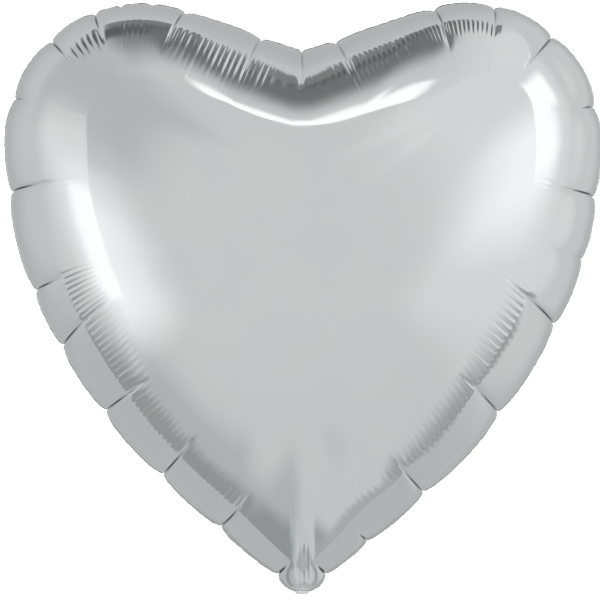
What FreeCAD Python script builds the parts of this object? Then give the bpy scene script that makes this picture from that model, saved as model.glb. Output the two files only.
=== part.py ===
"""Heart-shaped foil balloon, inflated, with its filling tail folded up behind it.

Two metallised film panels are heat-sealed together round a heart-shaped seam, and each bulges out of the
seam plane. A flat filling tail hangs from the tip. A self-sealing valve, two thin films, is sealed into
the neck and stands up inside the balloon.

Frame: the origin is the fold of the neck at the heart's tip, on the seam plane. +Z points up to the cleft,
+X to the viewer's right, and the front panel faces -Y. Sizes are in millimetres.

Film is drawn FILM_T thick so that its two faces stay apart when meshed. The real film is about 0.04 mm.
"""

import FreeCAD
import Part
import math
import os

V = FreeCAD.Vector
ORIGIN = V(0, 0, 0)

# Heart outline, at the outer edge of the seam. Each side is a straight run from the cleft, the lobe's arc,
# a wide flank arc and a straight run to the tip, all tangent to each other.
LOBE_R = 89.0  # radius of each lobe
LOBE_X = 101.0  # lobe centre from the middle, which makes the heart 380 wide
LOBE_Z = 289.5  # lobe centre above the neck fold
FLANK_R = 300.0  # radius of the side between lobe and tip
CLEFT_SLOPE = 20.0  # degrees that the outline rises from the cleft to a lobe
TIP_SLOPE = 41.0  # degrees that the outline rises from the tip to a flank
TIP_APEX_Z = -3.0  # where the two tip lines would meet
TIP_R = 17.0  # rounding of the tip
CLEFT_R = 30.0  # rounding of the cleft

# Inflated shape. Contours of the dome run from the heart at the seam to a circle at the crown.
DEPTH = 190.0  # front to back at the crown
CROWN_Z = 220.0  # height of the crown
CROWN_R = 150.0  # the contours even out towards shares of a circle of this radius
LEVELS = [0, 7, 15, 24, 34, 45, 56, 67, 76, 83, 87]  # a contour at each, in degrees up the quarter round
HALF_CONTOUR_POINTS = 40
TIP_CONE = 0.95  # how far the profile right above the tip is pointed instead of a quarter round
TIP_CONE_SPREAD = 14.0  # degrees either side of the tip over which that fades

# Film and seam
FILM_T = 0.5
SEAM_W = 2.0  # width of the heat-sealed edge

# Neck and tail
NECK_W = 28.0
NECK_BOTTOM = 2.0  # the neck ends this far above the fold's axis
NECK_TOP = 18.0
TAIL_START = 0.8  # the tail starts this far from the fold's axis
TAIL_END = 80.0
TAIL_END_W = 34.0
TAIL_CORNER_R = 4.0
TAIL_REST = 48.0  # degrees between the folded tail and straight up
FILL_HOLE_R = 4.5
FILL_HOLE_AT = 32.0  # from the fold's axis

# Self-sealing valve
VALVE_T = 0.25  # one of its two films
VALVE_ROOT_W = 26.0
VALVE_ROOT_TOP = 20.0
VALVE_START = 20.3  # the films start a little above the root, and hinge in the gap
VALVE_END = 125.0
VALVE_W = 25.0
VALVE_END_W = 21.0
VALVE_CORNER_R = 2.0


def polar(centre, radius, degrees):
    """The point at this distance and angle from a centre in the seam plane."""
    a = math.radians(degrees)
    return centre + V(radius * math.cos(a), 0, radius * math.sin(a))


def arc(centre, radius, start, end):
    """An arc in the seam plane from one angle to another."""
    middle = (start + end) / 2
    return Part.Arc(*[polar(centre, radius, degrees) for degrees in (start, middle, end)]).toShape()


def bridge(first, second):
    """The straight edge from the end of one edge to the start of the next."""
    return Part.LineSegment(first.Vertexes[-1].Point, second.Vertexes[0].Point).toShape()


def half_outline(inset):
    """The right half of the heart from tip to cleft, moved inwards by inset: a list of edges."""
    tip_slope = math.radians(TIP_SLOPE)
    cleft_slope = math.radians(CLEFT_SLOPE)
    lobe = V(LOBE_X, 0, LOBE_Z)
    tip = V(0, 0, TIP_APEX_Z + TIP_R / math.cos(tip_slope))
    cleft_apex_z = LOBE_Z + LOBE_R / math.cos(cleft_slope) - LOBE_X * math.tan(cleft_slope)
    cleft = V(0, 0, cleft_apex_z + CLEFT_R / math.cos(cleft_slope))

    # the flank arc touches both the lobe's arc, from outside it, and the tip line
    lobe_to_tip_line = (LOBE_Z - TIP_APEX_Z) * math.cos(tip_slope) - LOBE_X * math.sin(tip_slope)
    centre_distance = FLANK_R - LOBE_R
    touch = TIP_SLOPE - math.degrees(math.asin((FLANK_R - lobe_to_tip_line) / centre_distance))
    flank = polar(lobe, centre_distance, touch + 180)

    tip_arc = arc(tip, TIP_R - inset, -90, TIP_SLOPE - 90)
    flank_arc = arc(flank, FLANK_R - inset, TIP_SLOPE - 90, touch)
    lobe_arc = arc(lobe, LOBE_R - inset, touch, CLEFT_SLOPE + 90)
    cleft_arc = arc(cleft, CLEFT_R + inset, CLEFT_SLOPE - 90, -90)
    tip_side = bridge(tip_arc, flank_arc)
    cleft_side = bridge(lobe_arc, cleft_arc)
    return [tip_arc, tip_side, flank_arc, lobe_arc, cleft_side, cleft_arc]


def heart_face(inset):
    """The flat face inside the heart's outline moved inwards by inset."""
    right = half_outline(inset)
    left = [edge.mirror(ORIGIN, V(1, 0, 0)) for edge in right]
    return Part.Face(Part.Wire(Part.__sortEdges__(right + left)))


def heart_points(inset):
    """Evenly spaced points once round the heart's outline moved inwards by inset."""
    right = Part.Wire(half_outline(inset)).discretize(Number=HALF_CONTOUR_POINTS)
    left = [V(-p.x, 0, p.z) for p in reversed(right[1:-1])]
    return right + left


def contour(base, level, film):
    """One closed contour of the dome's outer face or, when film is its thickness, of its inner face."""
    rise = math.sin(math.radians(level))
    fall = math.cos(math.radians(level))
    roundness = rise**3
    points = []
    for p in base:
        out = p - V(0, 0, CROWN_Z)
        from_tip = math.degrees(math.atan2(abs(out.x), -out.z))
        cone = TIP_CONE * fall * math.exp(-((from_tip / TIP_CONE_SPREAD) ** 2))
        profile = (1 - cone) * fall + cone * math.sqrt(1 - rise)
        reach = (1 - roundness) * out.Length + roundness * CROWN_R
        centre = V(0, -rise * (DEPTH / 2 - film), CROWN_Z)
        points.append(centre + out.normalize() * (profile * reach - film))
    curve = Part.BSplineCurve()
    curve.interpolate(Points=points, PeriodicFlag=True)
    return Part.Wire([curve.toShape()])


def make_dome(film):
    """The solid under the front panel's outer face or, when film is its thickness, under its inner face."""
    base = heart_points(SEAM_W)
    return Part.makeLoft([contour(base, level, film) for level in LEVELS], True, False)


def box(width, y_low, y_high, z_low, z_high):
    """A box centred across its width."""
    return Part.makeBox(width, y_high - y_low, z_high - z_low, V(-width / 2, y_low, z_low))


def make_front_panel():
    """The bulged front film with its flat sealed edge and its side of the neck."""
    inside = make_dome(FILM_T)
    wall = make_dome(0).cut(inside)
    sealed_edge = heart_face(0).extrude(V(0, -FILM_T, 0)).cut(inside)
    neck = box(NECK_W, -VALVE_T - FILM_T, 0, NECK_BOTTOM, NECK_TOP).cut(inside)
    below_neck = box(2 * NECK_W, -FILM_T, 0, -NECK_BOTTOM, NECK_BOTTOM)
    valve_pocket = box(VALVE_ROOT_W, -VALVE_T, 0, NECK_BOTTOM, VALVE_START)
    return wall.fuse([sealed_edge, neck]).cut([below_neck, valve_pocket])


def to_rear(shape):
    """The mirror image across the seam plane."""
    return shape.mirror(ORIGIN, V(0, 1, 0))


def make_valve_root():
    """The lower ends of both valve films, sealed between the two sides of the neck."""
    return box(VALVE_ROOT_W, -VALVE_T, VALVE_T, NECK_BOTTOM, VALVE_ROOT_TOP)


def make_strip(z_low, z_high, low_w, high_w, corner_r, thickness):
    """A flat strip in front of the seam plane, with its upper corners rounded."""
    low = low_w / 2
    high = high_w / 2
    outline = [V(-low, 0, z_low), V(low, 0, z_low), V(high, 0, z_high), V(-high, 0, z_high)]
    strip = Part.Face(Part.makePolygon(outline + outline[:1])).extrude(V(0, -thickness, 0))
    through_edges = [edge for edge in strip.Edges if edge.BoundBox.YLength > thickness / 2]
    upper_corners = [edge for edge in through_edges if edge.BoundBox.ZMin > z_low + corner_r]
    return strip.makeFillet(corner_r, upper_corners)


def make_valve_front_film():
    """The front valve film above its sealed root."""
    return make_strip(VALVE_START, VALVE_END, VALVE_W, VALVE_END_W, VALVE_CORNER_R, VALVE_T)


def make_tail_plies():
    """Both plies of the tail, named as they lie when it hangs down, here folded up behind the balloon."""
    rear_ply = make_strip(TAIL_START, TAIL_END, NECK_W, TAIL_END_W, TAIL_CORNER_R, FILM_T)
    hole = Part.makeCylinder(FILL_HOLE_R, 3 * FILM_T, V(0, -FILM_T, FILL_HOLE_AT), V(0, 1, 0))
    front_ply = to_rear(rear_ply).cut(hole)
    for ply in (front_ply, rear_ply):
        ply.rotate(ORIGIN, V(1, 0, 0), -TAIL_REST)
    return front_ply, rear_ply


def main():
    os.makedirs("parts", exist_ok=True)
    front_panel = make_front_panel()
    valve_front_film = make_valve_front_film()
    tail_front_ply, tail_rear_ply = make_tail_plies()
    parts = {
        "front_panel": front_panel,
        "rear_panel": to_rear(front_panel),
        "valve_root": make_valve_root(),
        "valve_front_film": valve_front_film,
        "valve_rear_film": to_rear(valve_front_film),
        "tail_front_ply": tail_front_ply,
        "tail_rear_ply": tail_rear_ply,
    }
    for name, shape in parts.items():
        shape.exportStep(os.path.join("parts", name + ".step"))
        size = shape.BoundBox
        print(name, len(shape.Solids), shape.isValid(), round(shape.Volume), "mm3", size)


main()
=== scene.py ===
"""Looks of an inflated silver foil heart: crumpled film, pleated seam, folded tail, soft studio.

Sizes are in millimetres in the part's frame and become metres when a mesh is made. Along the seam,
distances are measured from the cleft, and `inset` is how far a point lies inside the seam, seen from
the front. The front film bulges towards -Y.
"""

import math

import bpy
import numpy as np
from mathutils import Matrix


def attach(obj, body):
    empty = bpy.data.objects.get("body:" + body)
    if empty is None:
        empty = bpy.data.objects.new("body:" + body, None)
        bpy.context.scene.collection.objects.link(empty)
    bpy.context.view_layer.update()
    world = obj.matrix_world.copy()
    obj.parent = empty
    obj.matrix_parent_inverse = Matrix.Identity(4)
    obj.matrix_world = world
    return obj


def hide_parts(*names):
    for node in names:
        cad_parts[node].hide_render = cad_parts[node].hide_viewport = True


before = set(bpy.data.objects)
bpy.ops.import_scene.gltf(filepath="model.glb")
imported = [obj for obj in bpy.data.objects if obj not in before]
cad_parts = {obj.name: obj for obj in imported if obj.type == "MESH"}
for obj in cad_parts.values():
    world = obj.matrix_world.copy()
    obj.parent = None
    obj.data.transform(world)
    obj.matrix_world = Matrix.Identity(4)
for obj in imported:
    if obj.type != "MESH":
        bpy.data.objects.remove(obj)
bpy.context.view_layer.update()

MM = 0.001
RANDOM = np.random.default_rng(18)

# Outline at the seam's inner edge, the same arcs as the CAD's
LOBE_R = 89.0
LOBE_CENTRE = (101.0, 289.5)
FLANK_R = 300.0
CLEFT_SLOPE = 20.0
TIP_SLOPE = 41.0
TIP_APEX_Z = -3.0
TIP_R = 17.0
CLEFT_R = 30.0
SEAM_W = 2.0
OUTLINE_STEP = 0.1
TANGENT_POINTS = 3  # the seam's direction is taken over this many points either way

# Inflated form, the same as the CAD's
HALF_DEPTH = 95.0
CROWN_Z = 220.0
CROWN_R = 150.0
TIP_CONE = 0.95
TIP_CONE_SPREAD = 14.0
BISECTIONS = 36

# Film mesh: rings run round the heart and columns run inwards from the seam
COLUMN_PITCH = 0.8
CREASE_PITCH = 0.28
CREASE_ZONE = (1.92, 3.2)  # columns thin out from CREASE_PITCH between these ways from a crease
COLUMN_GROUP = 32  # columns of a lobe come in this multiple, so that inner rings can thin out
RIM_CURVE_R = 180.0  # rings crowd towards the seam as on a quarter circle of this radius
# (from inset, to inset, rings), which stretch so that the strip ends at 12 and the ridge lies at 45
RIM_STAGES = [(0, 11.7, 9), (11.7, 12.3, 1), (12.3, 21, 9), (21, 44.4, 13), (44.4, 45.6, 1), (45.6, 72, 8)]
STRIP_INSET = 12.0
RIDGE_INSET = 45.0
STRIP_RING = 9  # the strip ends between this ring and the next
RIDGE_RING = 32  # the ridge lies between this ring and the next
DOME_RINGS = 36
THINNING = {42: 2, 46: 4, 51: 8, 63: 16, 70: 32}  # from this ring on, only every nth column is kept
CORNER_COLUMNS = 60  # a track's corners are rounded off over this many columns either way

# Creases: (distance along the seam, reach inwards, slant, strength of the painted shade along the crease,
# strength of the next lobe's puckers)
RIGHT_CREASES = [
    (0, 40, 0.0, 0.4, 1.0),
    (22, 40, 0.0, 0.4, 0.8),
    (89, 38, 0.0, 0.9, 0.9),
    (128, 24, 0.1, 0.5, 0.0),
    (169, 40, 0.0, 0.8, 0.0),
    (221, 18, 0.0, 0.9, 0.02),
    (278, 34, 0.0, 1.0, 0.03),
    (318, 6, 0.0, 0.3, 0.02),
    (363, 44, -0.25, 1.0, 0.6),
    (430, 44, -0.1, 0.8, 0.6),
    (500, 40, 0.0, 0.8, 0.12),
    (548, 12, 0.0, 1.0, 0.03),
    (582, 14, 0.0, 1.0, 0.0),
]
LEFT_CREASES = [
    (0, 40, 0.0, 0.4, 1.0),
    (27, 40, 0.0, 0.3, 1.0),
    (79, 38, 0.0, 0.9, 0.0),
    (101, 7, 0.0, 0.3, 0.3),
    (121, 7, 0.0, 0.2, 0.0),
    (138, 30, 0.0, 1.0, 0.75),
    (171, 34, 0.0, 1.0, 0.0),
    (215, 12, 0.0, 0.9, 0.02),
    (275, 36, 0.0, 1.0, 0.04),
    (340, 30, 0.0, 1.0, 0.9),
    (379, 44, -0.25, 1.0, 1.0),
    (429, 48, 0.05, 1.0, 1.0),
    (484, 46, 0.0, 1.0, 0.45),
    (534, 34, 0.0, 1.0, 0.03),
    (582, 14, 0.0, 1.0, 0.0),
]
FULL_REACH = 25.0  # a crease that reaches less far in is shallower
CREASE_SHOULDER = 0.6
CREASE_WIDTH = 6.0
SLIT_DEPTH = 1.2
SLIT_WIDTH = 0.5
# Shares of a crease's reach over which its shoulders, its slit and its painted shade line fade out
SHOULDER_FADE = (0.5, 1.0)
SLIT_FADE = (0.3, 0.8)
LINE_FADE = (0.25, 0.55)
SCALLOP_DEPTH = 2.4
SCALLOP_MIDDLE = 0.8  # share of the scallops that stands out past the seam
FULL_LOBE = 55.0  # a lobe shorter than this bulges less
# How far the lobes' outer ends stand out past the smooth outline: (distance along the seam, mm)
SWELLS = [
    (0, 2),
    (50, -3.5),
    (85, -3.5),
    (110, 1),
    (215, 2.5),
    (255, 0.5),
    (300, 4),
    (400, -0.5),
    (530, 3),
    (600, -1),
    (665, 3),
    (730, 0),
    (800, -1),
    (880, 2.5),
    (930, 0),
    (1100, 0),
    (1150, -3),
]
# Smooth strip next to the seam and the ridge further in: (distance along the seam, inset)
STRIP_ENDS = [
    (0, 16.5),
    (60, 19.5),
    (110, 14),
    (150, 14),
    (250, 20),
    (350, 28),
    (430, 28),
    (510, 21),
    (550, 15.5),
    (620, 12.5),
    (720, 21),
    (790, 26),
    (850, 22.5),
    (915, 22),
    (1010, 16),
    (1080, 14),
    (1130, 17.5),
]
RIDGES = [
    (0, 54),
    (35, 62),
    (60, 59),
    (130, 52),
    (160, 40),
    (185, 40),
    (250, 48),
    (300, 43),
    (420, 45),
    (594, 39),
    (700, 45),
    (810, 54),
    (970, 59),
    (1110, 50),
]
# How high the end of the strip stands: (distance along the seam, mm)
STRIP_RISES = [
    (130, 1.4),
    (160, 0.2),
    (340, 0.2),
    (380, 1.4),
    (860, 1.4),
    (890, 0.2),
    (1015, 0.2),
    (1040, 1.4),
]
STRIP_FALL = 15.0
STRIP_CALM = 25.0  # the strip is flat at the tip and has its full rise this far from it
RIDGE_RISE = 4.2
RIDGE_END = 0.75  # share of the way to the crown where the ridge has sunk back
RIDGE_STRAY = (1.2, 50)  # how far the ridge strays from its place, and over what length
TIP_CALM = (15, 180)  # the ridge fades out from far to near this way from the tip
# A small closed pillow: middle and half width along the seam, middle and half width inwards, height
POUCH = (147.5, 19.0, 12.5, 12.0, 1.2)
NUB_HALF_WIDTH = 17.0
NUB_HEIGHT = 2.4
NUB_FADE = 15.0
TIP_WRINKLES = (2.0, 2.8, 3.2, 0.36)  # at the tip: middle, spacing, half width and height
TIP_WRINKLE_TOP = 37.0
TAIL_ROOM = 1.5  # what the films leave free in front of the folded tail, either way it is folded
PUCKER_HEIGHT = 0.6
PUCKER_VALLEYS = 0.55  # share of that height that lies below the smooth film
PUCKER_ROUNDNESS = 0.8
PUCKER_STRENGTHS = (0.75, 1.1)
PUCKER_DRIFT = (0.15, 25)  # how much their spacing varies, and over what length
PUCKER_STAGGER = 0.2
LENGTH_VARIATION = 0.1
PUCKER_RAMP = (-0.5, 2.0)  # they rise between these ways past their start
PUCKER_FADE = 0.3  # and sink from this share of their length
# Every long crease puckers the film beside it: strength, half width, and the reach it takes
CREASE_PUCKERS = (0.45, 5, 20, 35)
BLEND_COLUMNS = 8  # puckers grow and fade over this many columns either way
# Spacing and length of the puckers: (distance along the seam, mm)
PUCKER_PITCHES = [
    (0, 3.4),
    (110, 3.6),
    (400, 4.6),
    (700, 4.0),
    (850, 4.4),
    (1010, 4.2),
    (1050, 5.4),
    (1100, 3.6),
]
PUCKER_LENGTHS = [
    (22, 26),
    (30, 11),
    (128, 12),
    (370, 24),
    (600, 10),
    (700, 12),
    (780, 24),
    (1040, 22),
    (1110, 14),
    (1122, 26),
]

# How the rim sways out of the seam plane
RIM_SWAY = (0.8, 22)  # how far, and over what length
SWAY_END = 30.0  # the sway is gone this far up the film
SWAY_CALM = (10, 40)  # it grows between these ways from the tip

# Sealed edge
SEAM_T = 0.16
SEAM_SHOWN = 1.4
SEAM_VARIATION = 0.16
SEAM_WIDTH_LENGTH = 2.0
SEAM_PLEAT = 0.3
SEAM_PLEAT_LENGTH = 1.6
SEAM_CURL = 0.9  # how far the sealed edge leans back
SEAM_OVERLAP = 0.5
SEAM_DULLNESS = 0.3

# Neck and tail, folded up behind
NECK_W = 28.0
NECK_BOTTOM = 2.0
NECK_TOP = 18.0
GATHER_W = 9.0
FOLD_R = 1.2
GATHER_PLEAT = 0.35
GATHER_PLEATS = 2
GATHER_END = 26.0  # the tail has its full width from here
GATHER_DECAY = 14.0
TAIL_T = 0.12
TAIL_START = 0.8
TAIL_END = 80.0
TAIL_END_W = 34.0
TAIL_CORNER_R = 4.0
TAIL_REST = 48.0
TAIL_BEND = 1.6
TAIL_GAP = 0.16  # from each ply to the middle, at the edges
TAIL_BULGE = 0.45
TAIL_CRUMPLE = 0.35
TAIL_CRUMPLE_LENGTH = 5.2
FILL_HOLE_R = 4.5
FILL_HOLE_AT = 32.0

# Valve inside the balloon
VALVE_T = 0.1
VALVE_ROOT_W = 26.0
VALVE_ROOT_TOP = 20.0
VALVE_START = 20.3
VALVE_END = 125.0
VALVE_W = 25.0
VALVE_END_W = 21.0

FLOOR_Z = -140.0
CAMERA_LENS = 135
CAMERA_AT = (-1.3, -1445.0, 187.5)


def arc_points(centre, radius, start, end):
    """Points along an arc between two angles in degrees."""
    count = max(3, int(abs(math.radians(end - start)) * radius / OUTLINE_STEP))
    angles = np.radians(np.linspace(start, end, count))
    return np.stack([centre[0] + radius * np.cos(angles), centre[1] + radius * np.sin(angles)], axis=1)


def resample(points, step):
    """A polyline's points at even steps, ends included."""
    lengths = np.concatenate([[0], np.cumsum(np.linalg.norm(np.diff(points, axis=0), axis=1))])
    even = np.linspace(0, lengths[-1], int(lengths[-1] / step) + 1)
    return np.stack([np.interp(even, lengths, values) for values in points.T], axis=1)


def heart_outline():
    """The seam's inner edge as a closed loop of (x, z), clockwise from the cleft."""
    tip_slope = math.radians(TIP_SLOPE)
    cleft_slope = math.radians(CLEFT_SLOPE)
    lobe_x, lobe_z = LOBE_CENTRE
    tip_z = TIP_APEX_Z + TIP_R / math.cos(tip_slope)
    cleft_apex_z = lobe_z + LOBE_R / math.cos(cleft_slope) - lobe_x * math.tan(cleft_slope)
    cleft_z = cleft_apex_z + CLEFT_R / math.cos(cleft_slope)
    lobe_to_tip_line = (lobe_z - TIP_APEX_Z) * math.cos(tip_slope) - lobe_x * math.sin(tip_slope)
    centre_distance = FLANK_R - LOBE_R
    touch = tip_slope - math.asin((FLANK_R - lobe_to_tip_line) / centre_distance)
    flank = (lobe_x - centre_distance * math.cos(touch), lobe_z - centre_distance * math.sin(touch))
    touch = math.degrees(touch)
    right = np.concatenate(
        [
            arc_points((0, cleft_z), CLEFT_R + SEAM_W, -90, CLEFT_SLOPE - 90),
            arc_points(LOBE_CENTRE, LOBE_R - SEAM_W, CLEFT_SLOPE + 90, touch),
            arc_points(flank, FLANK_R - SEAM_W, touch, TIP_SLOPE - 90),
            arc_points((0, tip_z), TIP_R - SEAM_W, TIP_SLOPE - 90, -90),
        ]
    )
    right = resample(right, OUTLINE_STEP)
    left = right[-2:0:-1] * [-1, 1]
    return np.concatenate([right, left])


class Seam:
    """The outline with its length, and positions and inward directions at any distance along it."""

    def __init__(self):
        self.points = heart_outline()
        steps = np.linalg.norm(np.roll(self.points, -1, axis=0) - self.points, axis=1)
        self.along = np.concatenate([[0], np.cumsum(steps)[:-1]])
        self.length = steps.sum()
        ahead = np.roll(self.points, -TANGENT_POINTS, axis=0)
        tangent = ahead - np.roll(self.points, TANGENT_POINTS, axis=0)
        tangent /= np.linalg.norm(tangent, axis=1)[:, None]
        self.inward = np.stack([tangent[:, 1], -tangent[:, 0]], axis=1)

    def at(self, along):
        """(x, z, inward x, inward z) at distances along the seam."""
        columns = [self.points[:, 0], self.points[:, 1], self.inward[:, 0], self.inward[:, 1]]
        return [np.interp(along, self.along, c, period=self.length) for c in columns]

    def inset(self, along, inset):
        """Where a point lies that is a given way inside the seam. Both sides stay apart above the tip."""
        x, z, inward_x, inward_z = self.at(along)
        sideways = inward_x * inset
        room = 0.75 * np.abs(x) + 1e-6 + CROWN_Z * smooth_step(0.4 * CROWN_Z, CROWN_Z, z)
        held = np.sign(sideways) * room * np.tanh(np.abs(sideways) / room)
        x = x + np.where(inward_x * x < 0, held, sideways)
        return x, z + np.minimum(inward_z, math.cos(math.radians(TIP_SLOPE))) * inset


def smooth_step(low, high, value):
    t = np.clip((value - low) / (high - low), 0, 1)
    return t * t * (3 - 2 * t)


def wander(count, spacing, length):
    """A smooth random curve round a closed loop, about -1 to 1, that changes over the given length."""
    noise = RANDOM.normal(size=count)
    frequency = np.fft.rfftfreq(count, spacing)
    spectrum = np.fft.rfft(noise) * np.exp(-((frequency * length) ** 2) * 2)
    curve = np.fft.irfft(spectrum, count)
    return curve / (2 * curve.std())


def dome_height(x, z, seam):
    """Height of the smooth inflated form over the seam plane."""
    rim = seam.points - [0, CROWN_Z]
    rim_angle = np.arctan2(rim[:, 0], -rim[:, 1])
    order = np.argsort(rim_angle)
    angle = np.arctan2(x, CROWN_Z - z)
    reach = np.interp(angle, rim_angle[order], np.hypot(rim[:, 0], rim[:, 1])[order], period=2 * math.pi)
    distance = np.hypot(x, z - CROWN_Z)
    pointed = TIP_CONE * np.exp(-((np.degrees(angle) / TIP_CONE_SPREAD) ** 2))
    low = np.zeros_like(x)
    high = np.full_like(x, math.pi / 2)
    for _ in range(BISECTIONS):
        level = (low + high) / 2
        rise = np.sin(level)
        fall = np.cos(level)
        cone = pointed * fall
        profile = (1 - cone) * fall + cone * np.sqrt(1 - rise)
        outside = profile * ((1 - rise**3) * reach + rise**3 * CROWN_R) < distance
        high = np.where(outside, level, high)
        low = np.where(outside, low, level)
    return HALF_DEPTH * np.sin((low + high) / 2)


def lobe_columns(length):
    """Where a lobe's columns start, measured from the lobe's start. They are denser at both ends."""
    fine = np.linspace(0, length, 400)
    to_crease = np.minimum(fine, length - fine)
    pitch = CREASE_PITCH + (COLUMN_PITCH - CREASE_PITCH) * smooth_step(*CREASE_ZONE, to_crease)
    number = np.concatenate([[0], np.cumsum(np.diff(fine) / pitch[1:])])
    count = COLUMN_GROUP * max(1, round(number[-1] / COLUMN_GROUP))
    return np.interp(np.arange(count) * number[-1] / count, number, fine)


def smoothed(curve, columns, weights):
    """A closed curve averaged with these weights over this many columns either way."""
    return np.convolve(np.pad(curve, columns, mode="wrap"), weights, mode="valid")


def track(rows, lobes):
    """A curve round the heart through (distance along the seam, value) rows, with its corners rounded."""
    places, values = np.array(rows, float).T
    curve = np.interp(lobes.along, places, values, period=lobes.seam_length)
    window = 2 * CORNER_COLUMNS + 1
    return smoothed(curve, CORNER_COLUMNS, np.full(window, 1 / window))


class Lobes:
    """Creases and the lobes between them, and one mesh column's place in its lobe."""

    def __init__(self, seam):
        rows = list(RIGHT_CREASES)
        for row, nearer in zip(reversed(LEFT_CREASES[1:]), reversed(LEFT_CREASES[:-1])):
            rows.append((seam.length - row[0], row[1], -row[2], row[3], nearer[4]))
        self.crease, self.reach, self.slant, self.dark, puckers = np.array(rows, float).T
        ends = np.append(self.crease[1:], seam.length)
        along = []
        lobe = []
        for i, (start, end) in enumerate(zip(self.crease, ends)):
            along.append(start + lobe_columns(end - start))
            lobe.append(np.full(len(along[-1]), i))
        self.along = np.concatenate(along)
        self.lobe = np.concatenate(lobe)
        self.count = len(self.along)
        self.seam_length = seam.length
        self.from_start = self.along - self.crease[self.lobe]
        self.to_end = ends[self.lobe] - self.along
        self.length = (ends - self.crease)[self.lobe]
        self.next = (self.lobe + 1) % len(self.crease)
        self.puckers = puckers[self.lobe]
        self.strip_end = track(STRIP_ENDS, self)

    def between(self, values):
        """Per-crease values, blended linearly across each lobe."""
        share = self.from_start / self.length
        return values[self.lobe] * (1 - share) + values[self.next] * share


def rim_insets(lobes):
    """How far inside the seam each point of the rim lies, by ring and column."""
    stages = []
    for start, end, rings in RIM_STAGES:
        turns = [math.acos(1 - inset / RIM_CURVE_R) for inset in (start, end)]
        stages.append(RIM_CURVE_R * (1 - np.cos(np.linspace(*turns, rings, endpoint=False))))
    last = RIM_STAGES[-1][1]
    plain = np.append(np.concatenate(stages), last)
    stray, stray_length = RIDGE_STRAY
    ridge = track(RIDGES, lobes) + stray * wander(lobes.count, COLUMN_PITCH, stray_length)
    ends = zip(lobes.strip_end, ridge)
    columns = [np.interp(plain, [0, STRIP_INSET, RIDGE_INSET, last], [0, *pair, last]) for pair in ends]
    return np.array(columns).T


def film_grid(seam, lobes):
    """(x, z, inset, centre share) of every point of the film's mesh, as ring by column arrays."""
    slant = lobes.between(lobes.slant)
    insets = rim_insets(lobes)
    xs = []
    zs = []
    for inset in insets:
        x, z = seam.inset(lobes.along + slant * inset, inset)
        xs.append(x)
        zs.append(z)
    edge_x = xs[-1]
    edge_z = zs[-1]
    shares = np.linspace(0, 1, DOME_RINGS + 1)[1:-1]
    for share in shares:
        xs.append(edge_x * (1 - share))
        zs.append(edge_z * (1 - share) + CROWN_Z * share)
    inset = np.concatenate([insets, np.repeat(insets[-1:], len(shares), axis=0)])
    share = np.concatenate([np.zeros(len(insets)), shares])[:, None] * np.ones((1, lobes.count))
    return np.array(xs), np.array(zs), inset, share


def grid_normals(x, y, z):
    """Outward unit normals of a ring by column grid that closes round the columns."""
    p = np.stack([x, y, z], axis=-1)
    round_heart = np.roll(p, -1, axis=1) - np.roll(p, 1, axis=1)
    inwards = np.gradient(p, axis=0)
    normal = np.cross(inwards, round_heart)
    normal /= np.linalg.norm(normal, axis=-1)[..., None] + 1e-12
    normal[0, :, 1] = 0
    normal[0] /= np.linalg.norm(normal[0], axis=-1)[:, None]
    return normal


def pucker_wave(lobes):
    """Ridges with sharp valleys along the seam: (height 0 to 1, start inset, length) per column."""
    drift, drift_length = PUCKER_DRIFT
    pitch = track(PUCKER_PITCHES, lobes) * (1 + drift * wander(lobes.count, COLUMN_PITCH, drift_length))
    spacing = np.diff(lobes.along, append=lobes.seam_length)
    phase = np.cumsum(spacing / pitch)
    phase *= round(phase[-1]) / phase[-1]
    number = np.floor(phase).astype(int)
    ridge = np.abs(np.sin(math.pi * phase)) ** PUCKER_ROUNDNESS
    count = number.max() + 1
    strength = RANDOM.uniform(*PUCKER_STRENGTHS, count)[number]
    start = lobes.strip_end + RANDOM.normal(0, PUCKER_STAGGER, count)[number]
    length = track(PUCKER_LENGTHS, lobes) * (1 + RANDOM.normal(0, LENGTH_VARIATION, count)[number])
    return ridge * strength, start, length


def tip_wrinkles(x, z):
    """Height of a few bold upright wrinkles at the heart's tip."""
    middle, spacing, half_width, height = TIP_WRINKLES
    aside = (x - middle) / half_width
    wave = np.cos((x - middle) / spacing * 2 * math.pi)
    fade = 1 - smooth_step(0.6 * TIP_WRINKLE_TOP, TIP_WRINKLE_TOP, z)
    return height * wave * np.exp(-(aside**2)) * fade


def crease_fade(shares, reach, inset):
    """1 at the seam, and 0 past the second of two shares of a crease's reach."""
    return 1 - smooth_step(shares[0] * reach, shares[1] * reach, inset)


def creases_at(lobes, inset):
    """How far the neighbouring creases pull a point in, and how strongly painted shade darkens the foil's
    colour along them.
    """
    depth = np.zeros_like(inset)
    dark = np.zeros_like(inset)
    for distance, crease in ((lobes.from_start, lobes.lobe), (lobes.to_end, lobes.next)):
        reach = lobes.reach[crease]
        size = np.minimum(reach / FULL_REACH, 1)
        shoulder = CREASE_SHOULDER * size * np.clip(1 - distance / CREASE_WIDTH, 0, 1) ** 2
        slit = SLIT_DEPTH * np.sqrt(size) * np.exp(-distance / SLIT_WIDTH)
        shoulder_fade = crease_fade(SHOULDER_FADE, reach, inset)
        slit_fade = crease_fade(SLIT_FADE, reach, inset)
        depth = np.maximum(depth, shoulder * shoulder_fade + slit * slit_fade)
        # painted shade: a thin darker line along each crease, put into the foil's colour and fading inwards
        # from the seam
        line = lobes.dark[crease] * np.exp(-((distance / SLIT_WIDTH) ** 2))
        dark = np.maximum(dark, line * crease_fade(LINE_FADE, reach, inset))
    return depth, dark


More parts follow.
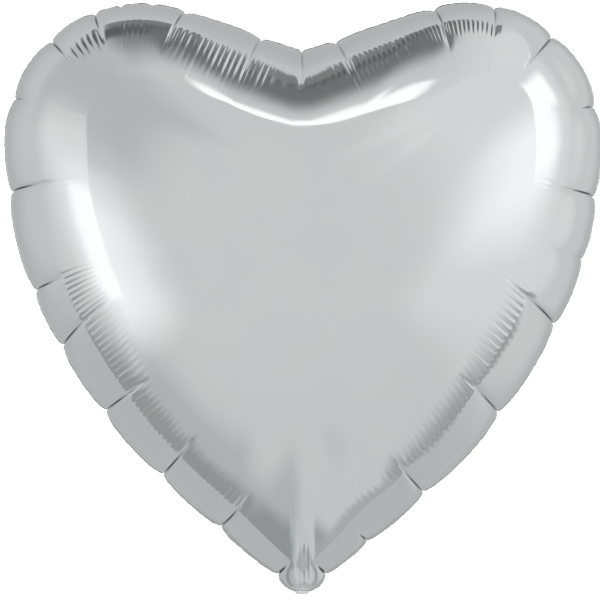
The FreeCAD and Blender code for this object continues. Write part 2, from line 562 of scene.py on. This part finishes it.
def pucker_push(lobes, inset):
    """How far the puckers push each point of the film out."""
    wave, start, length = pucker_wave(lobes)
    beside, half_width, short, long = CREASE_PUCKERS
    near_crease = np.exp(-((np.minimum(lobes.from_start, lobes.to_end) / half_width) ** 2))
    long_crease = smooth_step(short, long, lobes.between(lobes.reach))
    strength = np.maximum(lobes.puckers, beside * near_crease * long_crease)
    kernel = np.hanning(2 * BLEND_COLUMNS + 1)
    strength = smoothed(strength, BLEND_COLUMNS, kernel / kernel.sum())
    rise = smooth_step(start + PUCKER_RAMP[0], start + PUCKER_RAMP[1], inset)
    fall = 1 - smooth_step(start + PUCKER_FADE * length, start + length, inset)
    return PUCKER_HEIGHT * strength * (wave - PUCKER_VALLEYS) * rise * fall


def lobe_push(lobes, inset):
    """How far the lobes' outer ends stand out past the smooth outline."""
    centred = (lobes.from_start - lobes.to_end) / lobes.length
    depth = SCALLOP_DEPTH * np.minimum(lobes.length / FULL_LOBE, 1)
    scallop = depth * (SCALLOP_MIDDLE - np.abs(centred) ** 3)
    return (scallop + track(SWELLS, lobes)) * (1 - smooth_step(0, lobes.strip_end, inset))


def pouch_push(lobes, inset):
    """How far the pouch pushes each point of the film out."""
    middle, half_width, pouch_inset, half_depth, height = POUCH
    along = np.clip(1 - ((lobes.along - middle) / half_width) ** 2, 0, 1)
    return height * np.minimum(along, 1 - ((inset - pouch_inset) / half_depth) ** 2).clip(0)


def film_surface(seam, lobes, side, rim_sway):
    """Points of one film and the painted shade along its creases, by ring and column. Side is -1 front, 1
    rear.
    """
    x, z, inset, share = film_grid(seam, lobes)
    height = dome_height(x, z, seam)
    height[0] = 0
    normal = grid_normals(x, -height, z)
    steps = np.sqrt(np.diff(x, axis=0) ** 2 + np.diff(z, axis=0) ** 2 + np.diff(height, axis=0) ** 2)
    climbed = np.concatenate([np.zeros((1, lobes.count)), np.cumsum(steps, axis=0)])
    to_strip_end = (climbed[STRIP_RING] + climbed[STRIP_RING + 1]) / 2
    to_ridge = (climbed[RIDGE_RING] + climbed[RIDGE_RING + 1]) / 2
    from_tip = np.abs(lobes.along - seam.length / 2)

    past = climbed - to_strip_end
    profile = np.where(past < 0, climbed / to_strip_end, np.exp(-past / STRIP_FALL))
    strip = track(STRIP_RISES, lobes) * profile * smooth_step(0, STRIP_CALM, from_tip)
    ridge_height = RIDGE_RISE * smooth_step(*TIP_CALM, from_tip)
    pillow = ridge_height * np.minimum(climbed / to_ridge, 1) ** 2 * (1 - smooth_step(0, RIDGE_END, share))
    scallop = lobe_push(lobes, inset)
    nub = NUB_HEIGHT * np.sqrt(np.clip(1 - (from_tip / NUB_HALF_WIDTH) ** 2, 0, 1))
    nub = nub * (1 - smooth_step(0, NUB_FADE, inset))
    pouch = pouch_push(lobes, inset)
    crease, dark = creases_at(lobes, inset)
    puckers = pucker_push(lobes, inset)

    push = strip + pillow + scallop + nub + pouch - crease + puckers
    up = z + normal[..., 2] * push
    # at the tip the films stay clear of the folded tail, which is only as wide there as it is gathered
    tail_lies_at = up * math.tan(math.radians(TAIL_REST))
    free = tail_lies_at - TAIL_ROOM * (1 - 3 * (x / GATHER_W) ** 4)
    depth = np.minimum(height - normal[..., 1] * push, free.clip(0))
    sway = rim_sway * (1 - smooth_step(0, SWAY_END, climbed)) * smooth_step(*SWAY_CALM, from_tip)
    wrinkles = tip_wrinkles(x, z)
    points = (
        x + normal[..., 0] * (push + wrinkles),
        side * (depth - normal[..., 1] * wrinkles) + sway,
        up + normal[..., 2] * wrinkles,
    )
    return np.stack(points, axis=-1), dark


def thinned_mesh(name, grid, dark, crown, flip):
    """A mesh from a ring by column grid that keeps fewer columns on inner rings and ends in one point."""
    rings, columns = dark.shape
    stride = 1
    points = []
    first = []
    strides = []
    darkness = []
    for ring in range(rings):
        stride = THINNING.get(ring, stride)
        first.append(sum(len(p) for p in points))
        strides.append(stride)
        points.append(grid[ring, ::stride])
        darkness.append(dark[ring, ::stride])
    centre = sum(len(p) for p in points)
    faces = []
    for ring in range(rings - 1):
        outer = np.arange(columns // strides[ring])
        inner_count = columns // strides[ring + 1]
        if strides[ring] == strides[ring + 1]:
            following = (outer + 1) % len(outer)
            a = first[ring]
            b = first[ring + 1]
            faces += np.stack([a + outer, a + following, b + following, b + outer], axis=1).tolist()
            continue
        inner = np.arange(inner_count)
        a0 = first[ring] + 2 * inner
        a1 = a0 + 1
        a2 = first[ring] + (2 * inner + 2) % len(outer)
        b0 = first[ring + 1] + inner
        b1 = first[ring + 1] + (inner + 1) % inner_count
        faces += np.stack([a0, a1, b0], axis=1).tolist()
        faces += np.stack([a1, b1, b0], axis=1).tolist()
        faces += np.stack([a1, a2, b1], axis=1).tolist()
    last = np.arange(columns // strides[-1])
    faces += [[first[-1] + i, first[-1] + (i + 1) % len(last), centre] for i in last]
    if flip:
        faces = [face[::-1] for face in faces]
    points.append(np.array([crown]))
    piece = make_mesh(name, np.concatenate(points), faces)
    # the painted crease shade goes onto the film's points, for the foil's material
    store_shade_and_dullness(piece, np.append(np.concatenate(darkness), 0.0))
    return piece


def make_mesh(name, points, faces):
    """A smooth-shaded object from millimetre points."""
    mesh = bpy.data.meshes.new(name)
    mesh.from_pydata((np.asarray(points) * MM).tolist(), [], faces)
    mesh.shade_smooth()
    piece = bpy.data.objects.new(name, mesh)
    bpy.context.scene.collection.objects.link(piece)
    return piece


def store_shade_and_dullness(piece, darkness):
    """Stores how much the foil's material darkens each point: painted shade along the creases, and the
    sealed edge's dullness.
    """
    fold = piece.data.attributes.new("fold", "FLOAT", "POINT")
    fold.data.foreach_set("value", darkness)


def make_film(name, seam, lobes, side, rim_sway):
    """One film as an object, and its rim."""
    grid, dark = film_surface(seam, lobes, side, rim_sway)
    crown = (0, grid[-1, :, 1].mean(), CROWN_Z)
    return thinned_mesh(name, grid, dark, crown, flip=side > 0), grid[0]


def make_seam(rim, seam, lobes):
    """The pleated sealed edge as a thin closed band round the rim."""
    x, z, inward_x, inward_z = seam.at(lobes.along)
    pleat = wander(lobes.count, COLUMN_PITCH, SEAM_PLEAT_LENGTH)
    width = SEAM_SHOWN * (1 + SEAM_VARIATION * wander(lobes.count, COLUMN_PITCH, SEAM_WIDTH_LENGTH))
    inwards = np.stack([inward_x, np.zeros(lobes.count), inward_z], axis=1)
    outer = rim - inwards * width[:, None]
    outer[:, 1] += SEAM_CURL + SEAM_PLEAT * pleat
    inner = rim + inwards * SEAM_OVERLAP
    thick = np.array([0, SEAM_T / 2, 0])
    loops = [inner - thick, outer - thick, outer + thick, inner + thick]
    here = np.arange(lobes.count)
    following = (here + 1) % lobes.count
    faces = []
    for i in range(len(loops)):
        a = i * lobes.count
        b = (i + 1) % len(loops) * lobes.count
        faces += np.stack([a + here, b + here, b + following, a + following], axis=1).tolist()
    piece = make_mesh("sealed_seam", np.concatenate(loops), faces)
    store_shade_and_dullness(piece, np.full(len(loops) * lobes.count, SEAM_DULLNESS))
    return piece


def make_sheet(name, surface, size, half_width, thickness, hole=None):
    """A closed thin sheet. Its mid-surface is surface(along, across) in mm, along from size[0] to size[1]
    and across within half_width(along). A hole is (along, radius)."""
    cell = 1.0
    rows = np.linspace(size[0], size[1], int((size[1] - size[0]) / cell) + 1)
    columns = np.linspace(-1, 1, 2 * int(half_width(rows).max() / cell) + 1)
    along, share = np.meshgrid(rows, columns, indexing="ij")
    across = share * half_width(along)
    index = np.arange(along.size).reshape(along.shape)
    corners = [index[:-1, :-1], index[1:, :-1], index[1:, 1:], index[:-1, 1:]]
    faces = np.stack(corners, axis=-1).reshape(-1, 4)
    along = along.ravel()
    across = across.ravel()
    if hole:
        distance = np.hypot(along - hole[0], across)
        cut = (distance < hole[1])[faces].any(axis=1)
        edge = np.intersect1d(faces[cut], faces[~cut])
        faces = faces[~cut]
        along[edge] = hole[0] + (along[edge] - hole[0]) * hole[1] / distance[edge]
        across[edge] *= hole[1] / distance[edge]
    used, faces = np.unique(faces, return_inverse=True)
    points = np.stack(surface(along[used], across[used]), axis=1)
    piece = make_mesh(name, points, faces.reshape(-1, 4).tolist())
    solid = piece.modifiers.new("film", "SOLIDIFY")
    solid.thickness = thickness * MM
    solid.offset = 0
    bpy.context.view_layer.objects.active = piece
    bpy.ops.object.modifier_apply(modifier=solid.name)
    return piece


def tail_half_width(along):
    """The tail is gathered at its fold and widens to its end, where its corners are round."""
    widest = TAIL_END_W / 2
    body = NECK_W / 2 + (widest - NECK_W / 2) * along / TAIL_END
    gathered = GATHER_W / 2 + (body - GATHER_W / 2) * smooth_step(0, GATHER_END, along)
    corner = np.clip((along - TAIL_END + TAIL_CORNER_R) / TAIL_CORNER_R, 0, 1)
    return gathered - TAIL_CORNER_R * (1 - np.sqrt(1 - corner**2))


def gather_pleats(across):
    """Height of the pleats where the film is gathered."""
    return GATHER_PLEAT * np.sin(across / GATHER_W * 2 * GATHER_PLEATS * math.pi)


def tail_surface(side):
    """One ply of the tail. Side is -1 for the ply next to the balloon and 1 for the outer one."""

    def surface(along, across):
        share = across / tail_half_width(along)
        pleats = gather_pleats(across) * np.exp(-along / GATHER_DECAY)
        wave = np.sin(along / TAIL_CRUMPLE_LENGTH + 1.7 * share)
        crumple = TAIL_CRUMPLE * wave * (0.4 + share**2) * smooth_step(3, 20, along)
        spread = side * (TAIL_GAP + TAIL_BULGE * (1 - share**2) * smooth_step(6, 30, along))
        bend = TAIL_BEND * (along / TAIL_END) ** 1.5
        height = bend + spread + crumple + pleats
        lean = math.radians(TAIL_REST)
        back = height * math.cos(lean) + along * math.sin(lean)
        up = along * math.cos(lean) - height * math.sin(lean)
        return across, back, up

    return surface


def make_tail():
    """Both plies of the tail, and the roll of gathered film that they fold about."""
    span = (TAIL_START, TAIL_END)
    hole = (FILL_HOLE_AT, FILL_HOLE_R)
    outer = make_sheet("tail_front_film", tail_surface(1), span, tail_half_width, TAIL_T, hole)
    inner = make_sheet("tail_rear_film", tail_surface(-1), span, tail_half_width, TAIL_T)
    turns = 32
    columns = 41
    across = np.linspace(-1, 1, columns)
    pleat = 1 + 0.18 * np.sin(across * 5 * math.pi)
    radius = FOLD_R * pleat * np.sqrt(np.clip(1 - across**4, 0.02, 1))
    angle = np.linspace(0, 2 * math.pi, turns, endpoint=False)
    x = np.repeat(across * GATHER_W / 2, turns)
    y = (radius[:, None] * np.cos(angle)).ravel()
    z = (radius[:, None] * np.sin(angle)).ravel()
    faces = []
    for start in range(0, (columns - 1) * turns, turns):
        for j in range(turns):
            k = (j + 1) % turns
            faces.append([start + j, start + k, start + turns + k, start + turns + j])
    faces.append(list(range(turns))[::-1])
    faces.append([(columns - 1) * turns + j for j in range(turns)])
    roll = make_mesh("tail_fold_roll", np.stack([x, y, z], axis=1), faces)
    return outer, inner, roll


def make_neck():
    """The gathered neck between the heart's tip and the fold."""

    def half_width(along):
        return GATHER_W / 2 + (NECK_W / 2 - GATHER_W / 2) * smooth_step(NECK_BOTTOM, NECK_TOP, along)

    def surface(along, across):
        return across, gather_pleats(across) * (1 - 0.8 * smooth_step(NECK_BOTTOM, NECK_TOP, along)), along

    return make_sheet("neck", surface, (FOLD_R, NECK_TOP), half_width, 2 * TAIL_T)


def make_valve():
    """The sealed root of the valve and its two loose films, inside the balloon."""

    def root_width(along):
        widening = smooth_step(NECK_BOTTOM, VALVE_ROOT_TOP, along)
        return GATHER_W / 2 - 0.5 + (VALVE_ROOT_W - GATHER_W) / 2 * widening

    def root_surface(along, across):
        return across, 0.04 * np.sin(along * 2 * math.pi / 1.5), along

    def film_width(along):
        return VALVE_W / 2 - (VALVE_W - VALVE_END_W) / 2 * (along - VALVE_START) / (VALVE_END - VALVE_START)

    def loose_surface(side):
        def surface(along, across):
            loose = smooth_step(VALVE_START, VALVE_START + 25, along)
            curl = 0.9 * (across / film_width(along)) ** 2 + 0.35 * (1 + np.sin(along / 9.0 + side))
            return across, side * (0.1 + loose * curl), along

        return surface

    span = (VALVE_START, VALVE_END)
    root_span = (NECK_BOTTOM, VALVE_ROOT_TOP)
    root = make_sheet("valve_root_film", root_surface, root_span, root_width, 2 * VALVE_T)
    front = make_sheet("valve_front_sheet", loose_surface(-1), span, film_width, VALVE_T)
    rear = make_sheet("valve_rear_sheet", loose_surface(1), span, film_width, VALVE_T)
    return root, front, rear


class Graph:
    """Short way to build a node tree."""

    def __init__(self, tree):
        self.tree = tree
        self.tree.nodes.clear()

    def node(self, kind, inputs=None, **settings):
        node = self.tree.nodes.new(kind)
        for key, value in settings.items():
            setattr(node, key, value)
        for key, value in (inputs or {}).items():
            if isinstance(value, bpy.types.NodeSocket):
                self.tree.links.new(value, node.inputs[key])
            else:
                node.inputs[key].default_value = value
        return node

    def maths(self, operation, a, b=0.0):
        return self.node("ShaderNodeMath", {0: a, 1: b}, operation=operation).outputs[0]

    def vector(self, operation, a, b, output="Vector"):
        return self.node("ShaderNodeVectorMath", {0: a, 1: b}, operation=operation).outputs[output]

    def ramp(self, value, low, high, to_low=0.0, to_high=1.0):
        """Value mapped smoothly from one range to another."""
        inputs = {"Value": value, "From Min": low, "From Max": high, "To Min": to_low, "To Max": to_high}
        return self.node("ShaderNodeMapRange", inputs, interpolation_type="SMOOTHSTEP").outputs[0]

    def mix(self, factor, a, b):
        """Colour a turning into colour b."""
        inputs = {0: factor, 6: a, 7: b}
        return self.node("ShaderNodeMix", inputs, data_type="RGBA").outputs[2]


def foil_material():
    """Metallised film: bright, slightly hazy, with faint waviness and handling marks, and painted shade
    along its creases.
    """
    material = bpy.data.materials.new("silver_foil")
    material.use_nodes = True
    g = Graph(material.node_tree)
    where = g.node("ShaderNodeTexCoord").outputs["Object"]
    haze = g.node("ShaderNodeTexNoise", {"Vector": where, "Scale": 22.0, "Detail": 3.0}).outputs["Fac"]
    marks = g.node("ShaderNodeTexNoise", {"Vector": where, "Scale": 160.0, "Detail": 4.0}).outputs["Fac"]
    rough = g.maths("ADD", g.ramp(haze, 0.3, 0.7, 0.05, 0.09), g.ramp(marks, 0.55, 0.8, 0.0, 0.03))
    tint = g.mix(g.ramp(haze, 0.3, 0.7), (0.80, 0.81, 0.815, 1), (0.83, 0.835, 0.835, 1))
    # painted shade: the fold attribute darkens the foil's colour along the creases; on the sealed edge it
    # holds the edge's own dullness
    fold = g.node("ShaderNodeAttribute", attribute_name="fold").outputs["Fac"]
    tint = g.mix(fold, tint, (0.05, 0.055, 0.055, 1))
    wave = g.node("ShaderNodeTexNoise", {"Vector": where, "Scale": 55.0, "Detail": 1.0}).outputs["Fac"]
    bump = g.node("ShaderNodeBump", {"Height": wave, "Strength": 0.05, "Distance": 0.001})
    shader = g.node(
        "ShaderNodeBsdfPrincipled",
        {"Base Color": tint, "Metallic": 1.0, "Roughness": rough, "Normal": bump.outputs[0]},
    )
    g.node("ShaderNodeOutputMaterial", {"Surface": shader.outputs[0]})
    return material


def valve_material():
    """Milky clear plastic film with faint streaks."""
    material = bpy.data.materials.new("valve_plastic")
    material.use_nodes = True
    g = Graph(material.node_tree)
    where = g.node("ShaderNodeTexCoord").outputs["Object"]
    stretched = g.vector("MULTIPLY", where, (300, 300, 12))
    streaks = g.node("ShaderNodeTexNoise", {"Vector": stretched, "Scale": 1.0, "Detail": 2.0}).outputs["Fac"]
    tint = g.mix(g.ramp(streaks, 0.35, 0.65), (0.82, 0.84, 0.83, 1), (0.90, 0.91, 0.90, 1))
    bump = g.node("ShaderNodeBump", {"Height": streaks, "Strength": 0.2, "Distance": 0.0005})
    shader = g.node(
        "ShaderNodeBsdfPrincipled",
        {
            "Base Color": tint,
            "Roughness": g.ramp(streaks, 0.3, 0.7, 0.25, 0.4),
            "Transmission Weight": 0.5,
            "Alpha": 0.75,
            "Normal": bump.outputs[0],
        },
    )
    g.node("ShaderNodeOutputMaterial", {"Surface": shader.outputs[0]})
    return material


def build_floor():
    """A plain pale floor that curves up into a backdrop, too bright to show a horizon."""
    reach = 4000.0
    bend = 900.0
    turn = np.radians(np.linspace(0, 90, 19))
    profile = [(-reach, FLOOR_Z)]
    profile += [(reach + bend * math.sin(t), FLOOR_Z + bend * (1 - math.cos(t))) for t in turn]
    profile.append((reach + bend, FLOOR_Z + reach))
    points = [(side * reach, y, z) for side in (-1, 1) for y, z in profile]
    count = len(profile)
    faces = [[i, i + 1, count + i + 1, count + i] for i in range(count - 1)]
    floor = make_mesh("floor", points, faces)
    floor.visible_glossy = False
    material = bpy.data.materials.new("pale_floor")
    material.use_nodes = True
    g = Graph(material.node_tree)
    where = g.node("ShaderNodeTexCoord").outputs["Object"]
    grain = g.node("ShaderNodeTexNoise", {"Vector": where, "Scale": 3.0}).outputs["Fac"]
    tint = g.mix(grain, (0.90, 0.90, 0.90, 1), (0.93, 0.93, 0.93, 1))
    shader = g.node(
        "ShaderNodeBsdfPrincipled",
        {"Base Color": tint, "Roughness": 0.9, "Emission Color": (1, 1, 1, 1), "Emission Strength": 0.55},
    )
    g.node("ShaderNodeOutputMaterial", {"Surface": shader.outputs[0]})
    floor.data.materials.append(material)


def put_on(piece, material, body, slot, *nodes):
    """Finishes a piece: its material, the body it moves with and the nodes it replaces. Its slot is not
    used.
    """
    piece.data.materials.append(material)
    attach(piece, body)
    if nodes:
        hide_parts(*nodes)


# What the film mirrors, placed round the camera's line of sight. A tilt of 0 is straight back at the camera,
# 90 is square to it and 180 is behind the balloon; a bearing of 0 is up and 90 is to the viewer's right.
# (bearing, half spread, soft edge, low soft edge, low tilt, high tilt, high soft edge, brightness)
STUDIO_PANELS = [
    (-50, 8, 24, 20, 44, 88, 12, 0.56),
    (72, 38, 26, 22, 40, 92, 20, 0.80),
    (80, 40, 30, 10, 100, 108, 45, 0.68),
    (80, 6, 20, 34, 60, 76, 14, 1.10),
    (58, 5, 6, 3, 68, 86, 4, 1.22),
    (76, 10, 5, 3, 68, 79, 8, 1.22),
    (-84, 5, 26, 4, 62, 78, 14, 0.83),
    (-102, 7, 20, 34, 60, 68, 14, 1.08),
    (-99, 9, 3, 3, 60, 71, 5, 1.22),
    (-3, 5, 3, 2, 54, 61, 3, 1.22),
    (9, 6, 4, 2, 52.5, 59.0, 1.5, 1.22),
    (-170, 45, 30, 15, 100, 115, 30, 0.54),
    (-150, 18, 16, 18, 68, 96, 3, 0.54),
    (-140, 22, 16, 8, 85, 93, 3, 0.36),
    (134, 18, 8, 10, 86, 93, 3, 0.40),
    (164, 12, 10, 4, 88, 91, 3, 0.48),
    (-8, 14, 12, 22, 86, 100, 3, 0.24),
    (10, 5, 5, 8, 94, 100, 3, 0.25),
    (-12, 16, 10, 4, 88, 91, 4, 0.13),
    (0, 8, 8, 18, 82, 88, 6, 0.19),
]


def build_studio():
    """World light that the film mirrors, plain white for camera rays, and the camera."""
    world = bpy.data.worlds.new("studio")
    bpy.context.scene.world = world
    world.use_nodes = True
    g = Graph(world.node_tree)
    direction = g.node("ShaderNodeTexCoord").outputs["Generated"]
    away = g.vector("DOT_PRODUCT", direction, (0, -1, 0), "Value")
    tilt = g.maths("MULTIPLY", g.maths("ARCCOSINE", away), 180 / math.pi)
    flat = g.vector("MULTIPLY", direction, (1, 0, 1))
    bearing = g.node("ShaderNodeVectorMath", {0: flat}, operation="NORMALIZE").outputs["Vector"]

    tone = g.ramp(tilt, 20, 70, 0.70, 0.67)
    tone = g.maths("MULTIPLY", tone, g.ramp(tilt, 85, 150, 1.0, 0.76))
    for towards, spread, spread_edge, low_edge, low, high, high_edge, light in STUDIO_PANELS:
        centre = (math.sin(math.radians(towards)), 0, math.cos(math.radians(towards)))
        along = g.vector("DOT_PRODUCT", bearing, centre, "Value")
        aside = g.maths("MULTIPLY", g.maths("ARCCOSINE", along), 180 / math.pi)
        across = g.ramp(aside, spread, spread + spread_edge, 1.0, 0.0)
        above = g.ramp(tilt, low - low_edge, low)
        below = g.ramp(tilt, high, high + high_edge, 1.0, 0.0)
        inside = g.maths("MULTIPLY", across, g.maths("MULTIPLY", above, below))
        change = g.maths("MULTIPLY", inside, g.maths("SUBTRACT", light, tone))
        tone = g.maths("ADD", tone, change)
    cool = g.ramp(tone, 0.3, 0.8)
    hue = g.mix(cool, (0.94, 1.0, 0.99, 1), (0.99, 0.995, 1.0, 1))
    colour = g.node("ShaderNodeVectorMath", {0: hue, 3: tone}, operation="SCALE").outputs["Vector"]
    background = g.node("ShaderNodeBackground", {"Color": colour, "Strength": 1.0})
    plain = g.node("ShaderNodeBackground", {"Color": (1, 1, 1, 1), "Strength": 1.0})
    seen = g.node("ShaderNodeLightPath").outputs["Is Camera Ray"]
    blend = g.node("ShaderNodeMixShader", {0: seen, 1: background.outputs[0], 2: plain.outputs[0]})
    g.node("ShaderNodeOutputWorld", {"Surface": blend.outputs[0]})

    camera = bpy.data.cameras.new("camera")
    camera.lens = CAMERA_LENS
    holder = bpy.data.objects.new("camera", camera)
    bpy.context.scene.collection.objects.link(holder)
    holder.location = [place * MM for place in CAMERA_AT]
    holder.rotation_euler = (math.pi / 2, 0, 0)
    bpy.context.scene.camera = holder
    bpy.context.scene.view_settings.view_transform = "Standard"


seam = Seam()
lobes = Lobes(seam)
sway, sway_length = RIM_SWAY
rim_sway = sway * wander(lobes.count, COLUMN_PITCH, sway_length)
foil = foil_material()
front, front_rim = make_film("front_film", seam, lobes, -1, rim_sway)
rear, _ = make_film("rear_film", seam, lobes, 1, rim_sway)
put_on(front, foil, "envelope", "front_film", "front_panel")
put_on(rear, foil, "envelope", "rear_film", "rear_panel")
put_on(make_seam(front_rim, seam, lobes), foil, "envelope", "front_film")
put_on(make_neck(), foil, "envelope", "front_film")
tail_outer, tail_inner, tail_roll = make_tail()
put_on(tail_outer, foil, "tail", "tail_film", "tail_front_ply")
put_on(tail_inner, foil, "tail", "tail_film", "tail_rear_ply")
put_on(tail_roll, foil, "tail", "tail_film")
plastic = valve_material()
valve_root, valve_front, valve_rear = make_valve()
put_on(valve_root, plastic, "envelope", "valve_film", "valve_root")
put_on(valve_front, plastic, "valve_front", "valve_film", "valve_front_film")
put_on(valve_rear, plastic, "valve_rear", "valve_film", "valve_rear_film")
build_studio()
build_floor()
